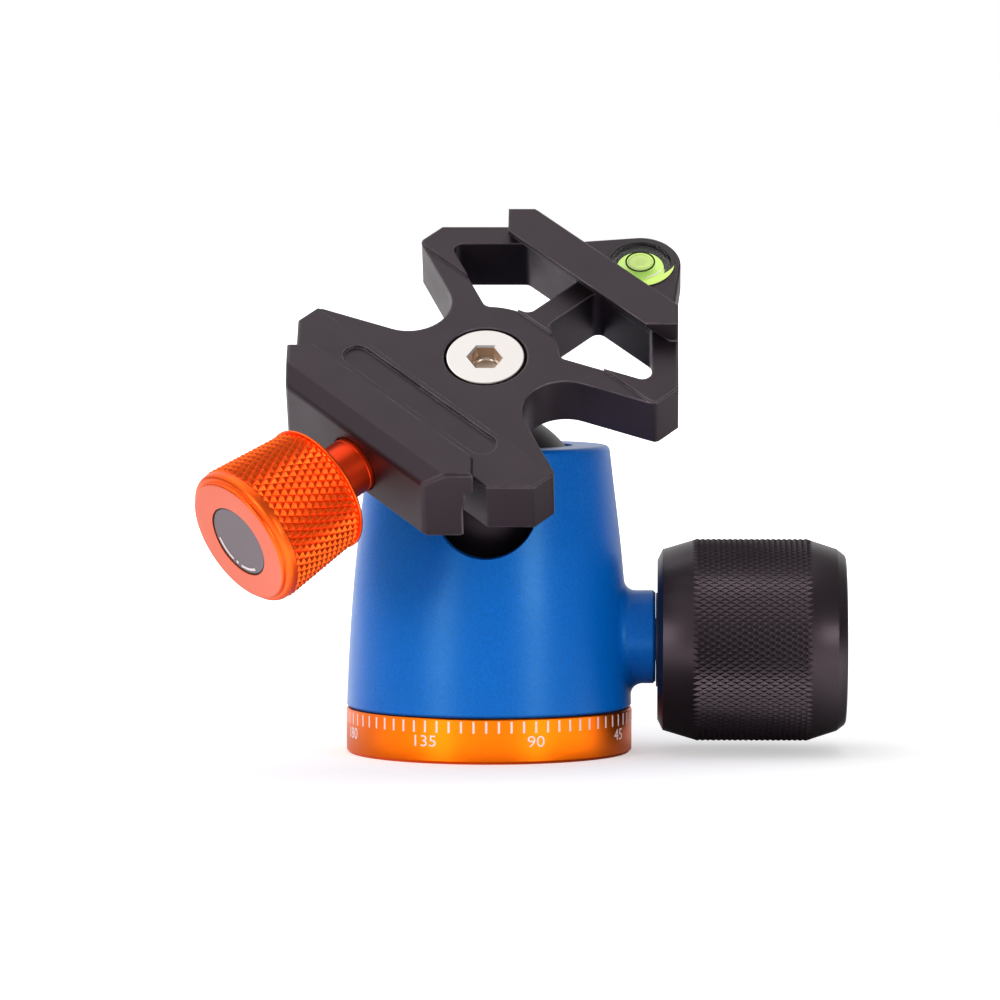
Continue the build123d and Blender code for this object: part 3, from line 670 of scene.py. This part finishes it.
class KnurlSettings(bpy.types.PropertyGroup):
    """Sizes of the two knurls, in millimetres."""
    main_columns: IntProperty(
        name="Locking knob teeth", description="Teeth round the locking knob", default=100, min=40)
    main_pitch: mm_setting("Locking knob pitch", "Length of a tooth along the knob", 1.54, min=0.5)
    main_depth: mm_setting("Locking knob depth", "Height of a tooth", 0.24, min=0.05, max=0.5)
    clamp_columns: IntProperty(
        name="Clamp knob teeth", description="Teeth round the clamp knob", default=53, min=20)
    clamp_pitch: mm_setting("Clamp knob pitch", "Length of a tooth along the knob", 2.05, min=0.5)
    clamp_depth: mm_setting("Clamp knob depth", "Height of a tooth", 0.38, min=0.05, max=0.6)


class ScaleSettings(bpy.types.PropertyGroup):
    """Sizes of the pan ring's scale."""
    tick_step: IntProperty(name="Tick step", description="Degrees between ticks", default=5, min=1)
    number_step: IntProperty(name="Number step", description="Degrees between numbers", default=45, min=5)
    tick_length: mm_setting("Tick length", "Length of a tick", 1.6, min=0.2)
    tick_width: mm_setting("Tick width", "Width of a tick", 0.3, min=0.05)
    number_height: mm_setting("Number height", "Height of a figure", 1.55, min=0.3)


# --- pieces ---

class BALLHEAD_OT_finishes(bpy.types.Operator):
    """Give every node of the frame its finish"""
    bl_idname = "ball_head.finishes"
    bl_label = "Finishes"

    def execute(self, context):
        looks = context.scene.ball_head_finish
        blue_coat(tuple(looks.body_blue))
        orange_finishes(tuple(looks.anodised_orange))
        black_finishes(tuple(looks.anodised_black))
        bare_metals()
        plastics()
        disc_and_marks()
        level_finishes(tuple(looks.level_fluid))
        for name, node in frame["nodes"].items():
            node.data.materials.clear()
            node.data.materials.append(MATERIALS[NODE_FINISH[name]])
        return {"FINISHED"}


class BALLHEAD_OT_locking_knob(bpy.types.Operator):
    """Turn the black locking knob and cut its fine knurl"""
    bl_idname = "ball_head.locking_knob"
    bl_label = "Locking knob"

    def execute(self, context):
        knurl = context.scene.ball_head_knurl
        near, far, crest = 29.2, 44.4, 14.15
        near_edge, far_edge = (12.7, 24.35), (12.75, 48.7)
        valley = crest - knurl.main_depth

        def runs_out(edge, end):
            """Where a bevel from its edge up to the crest crosses the knurl's floor."""
            return edge[1] + (end - edge[1]) * (valley - edge[0]) / (crest - edge[0])

        body = turned("locking_knob", profile_of([
            (0, 23.6, 0), (11.15, 23.6, 0.1), (*near_edge, 0.12), (valley, runs_out(near_edge, near), 0),
            (valley, runs_out(far_edge, far), 0), (*far_edge, 0.12), (11.75, 50.0, 0.9), (9.7, 50.0, 0.1),
            (9.2, 49.5, 0.1), (5.2, 49.5, 0.1), (5.2, 47.0, 0), (0, 47.0, 0)]),
            LOCK_AXIS, "black_anodised_knob", "lock_knob", segments=200)
        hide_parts("main_knob")
        steps = round((far - near) / knurl.main_pitch * 2)
        grown("locking_knob_knurl", knurl_tree(), {
            "Columns": knurl.main_columns, "Rows": steps + 1, "Start": near,
            "Pitch": (far - near) / steps * 2, "Start Radius": crest, "Slope": 0.0,
            "Depth": knurl.main_depth, "Flat": 0.08},
            LOCK_AXIS, "black_anodised_knob", "lock_knob")
        return {"FINISHED"}


class BALLHEAD_OT_clamp_knob(bpy.types.Operator):
    """Turn the orange clamp knob, cut its coarse knurl and mark its end disc"""
    bl_idname = "ball_head.clamp_knob"
    bl_label = "Clamp knob"

    def execute(self, context):
        knurl = context.scene.ball_head_knurl
        start, end = -31.95, -43.9
        small, large, shoulder = 8.85, 9.9, 9.72
        depth = knurl.clamp_depth
        run_out, sunk = 0.45, 0.03                 # the knurl's floor ends early and lies under its teeth
        body = turned("clamp_knob_body", profile_of([
            (0, -24.28, 0), (3.95, -24.28, 0.1), (3.95, -25.2, 0), (3.83, -25.32, 0), (3.95, -25.44, 0),
            (3.95, -31.2, 0.15), (8.73, -31.2, 0.1), (9.03, -31.5, 0.1), (9.03, -31.75, 0.08),
            (8.6, -31.8, 0), (small - depth, start, 0), (large - depth - sunk, end + run_out, 0),
            (shoulder, end, 0.04), (shoulder, -45.25, 0.8), (8.87, -45.25, 0.08), (8.87, -45.8, 0.4),
            (5.15, -45.8, 0.06), (5.15, -44.8, 0), (0, -44.8, 0)]),
            CLAMP_AXIS, "orange_anodised_knob", "jaw_knob", segments=160)
        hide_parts("clamp_knob")
        low, high = end + 0.5, start - 0.35        # the outermost rows
        steps = round((high - low) / knurl.clamp_pitch * 2)
        slope = (small - large) / (start - end)
        grown("clamp_knob_knurl", knurl_tree(), {
            "Columns": knurl.clamp_columns, "Rows": steps + 1, "Start": low,
            "Pitch": (high - low) / steps * 2, "Start Radius": large + slope * (low - end),
            "Slope": slope, "Depth": depth, "Flat": 0.1},
            CLAMP_AXIS, "orange_anodised_knob", "jaw_knob")
        self.mark_disc()
        return {"FINISHED"}

    def mark_disc(self):
        """Print the end disc's rim, two arcs and a dot."""
        face, proud, sunk = -45.65, 0.025, 0.1
        low, high = face - proud, face + sunk
        turned("disc_rim", [(4.93, low), (5.1, low), (5.1, high), (4.93, high)],
               CLAMP_AXIS, "black_print", "jaw_knob", segments=96)
        marks = bmesh.new()
        for first, last in ((153, 107), (86.5, 46)):
            arc_bar(marks, 4.19, 4.56, first, last, low, high)
        out, angle = 4.28, 1.693                   # the dot's place, in mm and radians
        self.dot(marks, Matrix.Translation((out * math.cos(angle), out * math.sin(angle), 0)), low, high)
        link("disc_marks", closed_mesh("disc_marks", marks, CLAMP_AXIS), "white_fill",
             "jaw_knob")

    @staticmethod
    def dot(bm, place, low, high):
        """Add a small round dot."""
        lump, mesh = bmesh.new(), bpy.data.meshes.new("dot")
        lathe(lump, [(0, low), (0.24, low), (0.24, high), (0, high)], segments=20)
        lump.transform(place)
        lump.to_mesh(mesh)
        lump.free()
        bm.from_mesh(mesh)
        bpy.data.meshes.remove(mesh)


class BALLHEAD_OT_clamp_screw(bpy.types.Operator):
    """Turn the clamp's centre screw and broach its hexagon"""
    bl_idname = "ball_head.clamp_screw"
    bl_label = "Clamp screw"

    def execute(self, context):
        cone = -6.65                               # where the seat's cone would meet the axis
        body = turned("socket_screw", [
            (0, -16.0), (2.95, -16.0), (2.95, 2.95 + cone), (5.35, 5.35 + cone), (5.35, -0.15),
            (5.3, -0.04), (5.2, 0.0), (2.28, 0.0, 6), (2.24, -0.02, 6), (2.0, -0.2, 6), (2.0, -1.9, 6),
            (1.75, -2.0), (1.6, -2.2), (0, -2.45)],
            CLAMP, "satin_nickel", "clamp", segments=96, sharp=20.0)
        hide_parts("clamp_screw")
        return {"FINISHED"}


class BALLHEAD_OT_pan_scale(bpy.types.Operator):
    """Fill the pan ring's degree ticks and numbers"""
    bl_idname = "ball_head.pan_scale"
    bl_label = "Pan scale"

    def execute(self, context):
        scale = context.scene.ball_head_scale
        zero = 110.4                               # degrees from the front round to the zero mark
        radius, top, thick, gap = 19.99, 5.92, 0.05, 0.4
        grown("pan_ticks", tick_tree(), {
            "Count": 360 // scale.tick_step, "First": math.radians(zero - 90), "Radius": radius,
            "Middle": top - scale.tick_length / 2, "Size": (thick, scale.tick_width, scale.tick_length)},
            UPRIGHT, "white_fill", "base")
        bm = bmesh.new()
        middle = top - scale.tick_length - gap - scale.number_height / 2
        for number in range(0, 360, scale.number_step):
            figures = self.figures(str(number), scale.number_height)
            turn = math.radians(zero - 90 - number)
            for vert in figures.vertices:
                x, y, z = vert.co
                angle, out = turn + x / radius, radius + z
                vert.co = (out * math.cos(angle), out * math.sin(angle), middle + y)
            bm.from_mesh(figures)
            bpy.data.meshes.remove(figures)
        link("pan_numbers", closed_mesh("pan_numbers", bm, UPRIGHT), "white_fill",
             "base")
        return {"FINISHED"}

    @staticmethod
    def figures(text, height):
        """Figures of a height, centred on the origin in the XY plane, as a thin closed mesh."""
        widening = 1.2
        curve = bpy.data.curves.new("figures", "FONT")
        curve.body = text
        curve.resolution_u = 3
        curve.extrude = 0.02
        holder = bpy.data.objects.new("figures", curve)
        bpy.context.scene.collection.objects.link(holder)
        graph = bpy.context.evaluated_depsgraph_get()
        mesh = bpy.data.meshes.new_from_object(holder.evaluated_get(graph))
        bpy.data.objects.remove(holder)
        bpy.data.curves.remove(curve)
        xs = [v.co.x for v in mesh.vertices]
        ys = [v.co.y for v in mesh.vertices]
        grow = height / (max(ys) - min(ys))
        shift = Matrix.Translation((-(min(xs) + max(xs)) / 2, -(min(ys) + max(ys)) / 2, 0))
        mesh.transform(Matrix.Diagonal((grow * widening, grow, 1.0, 1.0)) @ shift)
        return mesh


class BALLHEAD_OT_level(bpy.types.Operator):
    """Fill the bubble level: fluid, vial wall, ring line and bubble"""
    bl_idname = "ball_head.level"
    bl_label = "Bubble level"

    def execute(self, context):
        shapes = {
            "level_vial": ("level_vial_wall", [
                (4.28, -2.88, 0), (4.28, -0.74, 0.08), (3.6, -0.74, 0.06), (3.3, -1.0, 0.05),
                (3.3, -2.88, 0)]),
            "level_pool": ("level_fluid", [(0, -2.88, 0), (3.28, -2.88, 0), (3.28, -1.05, 0), (0, -1.05, 0)]),
            "level_ring_line": ("black_print", [
                (1.86, 0.3, 0), (2.1, 0.3, 0), (2.1, 0.37, 0), (1.86, 0.37, 0)]),
            "level_bubble": ("level_bubble", [
                (0, 0.18, 0), (1.5, 0.18, 0), (1.7, 0.24, 0), (1.6, 0.29, 0), (1.3, 0.325, 0), (0.8, 0.35, 0),
                (0, 0.36, 0)]),
        }
        for name, (look, points) in shapes.items():
            piece = turned(name, profile_of(points), LEVEL, look, "clamp", segments=96)
            if name == "level_pool":
                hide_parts("level_fluid")
        crescents = {                              # radii, angles and heights of light caught in the rim
            "level_edge_glow": ("level_fluid", (3.6, 4.78, -75, 38, 0.1, 0.165)),
            "level_glint": ("white_fill", (3.22, 3.42, -38, 26, 0.3, 0.33)),
        }
        for name, (look, bend) in crescents.items():
            bm = bmesh.new()
            arc_bar(bm, *bend, steps=32, tapered=True)
            link(name, closed_mesh(name, bm, LEVEL), look, "clamp")
        return {"FINISHED"}


class BALLHEAD_OT_tripod_thread(bpy.types.Operator):
    """Turn the spindle and wind the thread in its hole"""
    bl_idname = "ball_head.tripod_thread"
    bl_label = "Tripod thread"

    def execute(self, context):
        major, crest, depth, lead = 4.76, 4.0, 7.8, 0.35
        tube, flange = 7.0, 9.2
        body = turned("threaded_spindle", profile_of([
            (0, depth + 2.2, 0), (crest, depth, 0), (major, depth - 0.6, 0), (major, lead, 0),
            (major + lead, 0, 0), (tube, 0, 0.15), (tube, 7.7, 0), (flange, 7.7, 0.1), (flange, 9.0, 0.1),
            (tube, 9.0, 0), (tube, 11.3, 0.2), (0, 11.3, 0)]),
            UPRIGHT, "turned_steel", "base")
        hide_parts("spindle")
        pitch = 25.4 / 16                          # sixteen threads to the inch
        margin = 0.8                               # kept from both ends of the hole
        grown("tripod_thread", thread_tree(), {
            "Pitch": pitch, "Turns": (depth - 2 * margin) / pitch, "Start": margin,
            "Crest Radius": crest, "Ridge": 0.84}, UPRIGHT, "turned_steel", "base")
        return {"FINISHED"}


class BALLHEAD_OT_grip_pad(bpy.types.Operator):
    """Mould the studs of the grip pad"""
    bl_idname = "ball_head.grip_pad"
    bl_label = "Grip pad"

    def execute(self, context):
        stud_height, underside = 0.3, 0.01         # points below the second are on the underside
        bm = bmesh.new()
        bm.from_mesh(frame["nodes"]["grip_pad"].data)
        bmesh.ops.remove_doubles(bm, verts=bm.verts, dist=1e-7)
        for vert in bm.verts:
            if vert.co.z < underside * MM:
                vert.co.z = stud_height * MM
        body = link("grip_pad_body", closed_mesh("grip_pad_body", bm, Matrix.Identity(4)),
                    "grip_rubber", "base")
        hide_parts("grip_pad")
        grown("grip_pad_studs", stud_tree(), {
            "Spacing": 0.95, "Inner": 10.1, "Outer": 16.75, "Screw Circle": 13.4, "Clear Radius": 2.5,
            "Stud Radius": 0.33, "Height": stud_height}, UPRIGHT, "grip_rubber", "base")
        return {"FINISHED"}


class BALLHEAD_OT_stage(bpy.types.Operator):
    """Set the floor, the lamps and the camera"""
    bl_idname = "ball_head.stage"
    bl_label = "Stage"

    def execute(self, context):
        scene = context.scene
        self.lay_floor(scene)
        scene.world = studio_world()
        self.hang_lamps(scene)
        self.set_camera(scene)
        scene.view_settings.view_transform = "Standard"
        return {"FINISHED"}

    @staticmethod
    def lay_floor(scene):
        """Lay a wide sheet of paper under the object."""
        bm, mesh = bmesh.new(), bpy.data.meshes.new("floor")
        bmesh.ops.create_grid(bm, x_segments=8, y_segments=8, size=6.0)
        bm.to_mesh(mesh)
        bm.free()
        floor = bpy.data.objects.new("floor", mesh)
        scene.collection.objects.link(floor)
        mesh.materials.append(floor_material())

    @staticmethod
    def hang_lamps(scene):
        """Hang two soft lamps low at the front and a wide one overhead, all aimed at the object's middle."""
        middle = Vector((0, 0, 0.03))
        lamps = (                                  # name, place, size and power in watts
            ("soft_left", (-0.49, -0.63, 0.14), 0.24, 1.7),
            ("soft_right", (0.5, -0.62, 0.14), 0.2, 1.45),
            ("overhead", (-0.15, 0.0, 0.95), 0.9, 2.5),
        )
        for name, spot, size, power in lamps:
            lamp = bpy.data.lights.new(name, "AREA")
            lamp.shape, lamp.size, lamp.energy = "SQUARE", size, power
            holder = bpy.data.objects.new(name, lamp)
            holder.location = spot
            holder.rotation_euler = (middle - Vector(spot)).to_track_quat("-Z", "Y").to_euler()
            scene.collection.objects.link(holder)

    @staticmethod
    def set_camera(scene):
        """Set a long lens in front of the object, a little above it."""
        downward, leftward = 3.2325, 1.4374        # degrees
        data = bpy.data.cameras.new("camera")
        data.lens, data.sensor_width = 205.573, 36.0
        data.clip_start, data.clip_end = 0.01, 50.0
        camera = bpy.data.objects.new("camera", data)
        camera.location = (0.02158, -0.79916, 0.080417)
        camera.rotation_euler = (math.radians(90 - downward), 0.0, math.radians(leftward))
        scene.collection.objects.link(camera)
        scene.camera = camera


def studio_world():
    """A white room where it is seen.

    Mirrors see it dark but for the backdrop, the ceiling and a low strip in front. Matt surfaces get a
    soft light from all sides. x, y and z are the way looked in.
    """
    world = bpy.data.worlds.new("studio")
    b = empty_board(world)
    path = b.put("ShaderNodeLightPath").outputs
    x, y, z = b.put("ShaderNodeSeparateXYZ", {0: b.put("ShaderNodeTexCoord").outputs["Generated"]}).outputs
    backdrop = b.ease(y, 0.42, 0.85, 0.05, 1.0)
    ceiling = b.math("MULTIPLY", b.ease(z, 0.1, 0.5), b.ease(x, 0.1, -0.5, 0.3, 1.3))
    strip = b.math("MULTIPLY", b.ease(b.math("ABSOLUTE", x), 0.3, 0.08),
                   b.math("MULTIPLY", b.ease(y, -0.45, -0.7), b.ease(z, 0.22, 0.05)))
    mirrored = b.math("ADD", b.math("MAXIMUM", backdrop, ceiling), strip)
    leaning, level = -0.26, 0.62                   # more of the soft light comes from the left
    soft = b.math("MULTIPLY_ADD", x, leaning, level)
    seen = b.math("MAXIMUM", path["Is Camera Ray"], path["Is Transmission Ray"])
    room = b.put("ShaderNodeMix", {0: path["Is Glossy Ray"], 2: soft, 3: mirrored},
                 data_type="FLOAT").outputs[0]
    strength = b.put("ShaderNodeMix", {0: seen, 2: room, 3: 1.0}, data_type="FLOAT").outputs[0]
    light = b.put("ShaderNodeBackground", {"Color": WHITE, "Strength": strength})
    b.put("ShaderNodeOutputWorld", {"Surface": light})
    return world


def floor_material():
    """Pale paper that keeps the shadow near the object and turns white away from it.

    Mirrors see it bright ahead of the object, nearer for the low rays that reach the pan ring, and dim at
    the near right, where the black end faces look. Distances are in metres from the pan axis.
    """
    paper_white, paper_dim = (0.8, 0.79, 0.8, 1.0), (0.1, 0.095, 0.1, 1.0)
    corner_gain, dim_share = 0.9, 0.95
    paper = bpy.data.materials.new("floor_paper")
    b = empty_board(paper)
    path = b.put("ShaderNodeLightPath").outputs
    seen = b.math("MAXIMUM", path["Is Camera Ray"], path["Is Transmission Ray"])
    mirrored = path["Is Glossy Ray"]
    where = b.put("ShaderNodeTexCoord").outputs["Object"]
    away = b.vector("LENGTH", where)
    x, y, _ = b.put("ShaderNodeSeparateXYZ", {0: where}).outputs
    slant = b.put("ShaderNodeLayerWeight").outputs["Facing"]
    low_ray = b.ease(slant, 0.55, 0.8)
    near = b.math("MAXIMUM", b.ease(away, 0.042, 0.06),
                  b.math("MULTIPLY", low_ray, b.ease(away, 0.024, 0.036)))
    ahead = b.math("MULTIPLY", b.ease(y, 0.0, -0.02), b.math("MULTIPLY", near, b.ease(away, 0.17, 0.1)))
    corner = b.math("MULTIPLY", low_ray, b.math("MULTIPLY", b.ease(x, 0.02, 0.05), b.ease(y, -0.06, -0.04)))
    middle = b.math("MULTIPLY", b.ease(x, -0.08, -0.01, 0.9, 1.7), b.ease(x, 0.07, 0.03, 0.75, 1.0))
    front = b.math("MULTIPLY", ahead, b.math("MULTIPLY_ADD", corner, corner_gain, middle))
    side = b.math("MULTIPLY", b.ease(y, -0.04, 0.03), b.ease(x, 0.05, -0.05, 0.08, 0.92))
    near_glow = b.ease(away, 0.04, 0.25, 0.42, 1.1)
    far_glow = b.math("MULTIPLY", b.ease(away, 0.04, 0.1), side)
    glow = b.math("ADD", b.math("MULTIPLY", seen, near_glow),
                  b.math("MULTIPLY", mirrored, b.math("MAXIMUM", front, far_glow)))
    right = b.math("MULTIPLY", b.ease(slant, 0.8, 0.55),
                   b.math("MULTIPLY", b.ease(x, -0.01, 0.03), b.ease(away, 0.08, 0.05)))
    dim = b.math("MULTIPLY", mirrored, b.math("MULTIPLY", right, dim_share))
    matt = b.put("ShaderNodeBsdfDiffuse", {"Color": b.blend(dim, paper_white, paper_dim)})
    light = b.put("ShaderNodeEmission", {"Color": WHITE, "Strength": glow})
    b.put("ShaderNodeOutputMaterial", {"Surface": b.put("ShaderNodeAddShader", {0: matt, 1: light})})
    return paper


SETTINGS = {
    "ball_head_finish": FinishSettings,
    "ball_head_knurl": KnurlSettings,
    "ball_head_scale": ScaleSettings,
}


class BALLHEAD_PT_panel(bpy.types.Panel):
    """Lists the ball head's pieces"""
    bl_label = "Ball Head"
    bl_idname = "BALLHEAD_PT_panel"
    bl_space_type = "VIEW_3D"
    bl_region_type = "UI"
    bl_category = "Ball Head"

    def draw(self, context):
        for settings in SETTINGS:
            box = self.layout.box()
            chosen = getattr(context.scene, settings)
            for name in chosen.__annotations__:
                box.prop(chosen, name)
        for operator in OPERATORS:
            self.layout.operator(operator.bl_idname)


OPERATORS = (
    BALLHEAD_OT_finishes,
    BALLHEAD_OT_locking_knob,
    BALLHEAD_OT_clamp_knob,
    BALLHEAD_OT_clamp_screw,
    BALLHEAD_OT_pan_scale,
    BALLHEAD_OT_level,
    BALLHEAD_OT_tripod_thread,
    BALLHEAD_OT_grip_pad,
    BALLHEAD_OT_stage,
)
CLASSES = (*SETTINGS.values(), *OPERATORS, BALLHEAD_PT_panel)


def register():
    """Register the classes and give the scene their settings."""
    for each in CLASSES:
        bpy.utils.register_class(each)
    for name, kind in SETTINGS.items():
        setattr(bpy.types.Scene, name, PointerProperty(type=kind))


def unregister():
    """Take the settings off the scene and unregister the classes."""
    for settings in SETTINGS:
        delattr(bpy.types.Scene, settings)
    for each in reversed(CLASSES):
        bpy.utils.unregister_class(each)


def main():
    """Make every piece in order."""
    register()
    for operator in OPERATORS:
        family, name = operator.bl_idname.split(".")
        getattr(getattr(bpy.ops, family), name)()


if __name__ == "__main__":
    main()
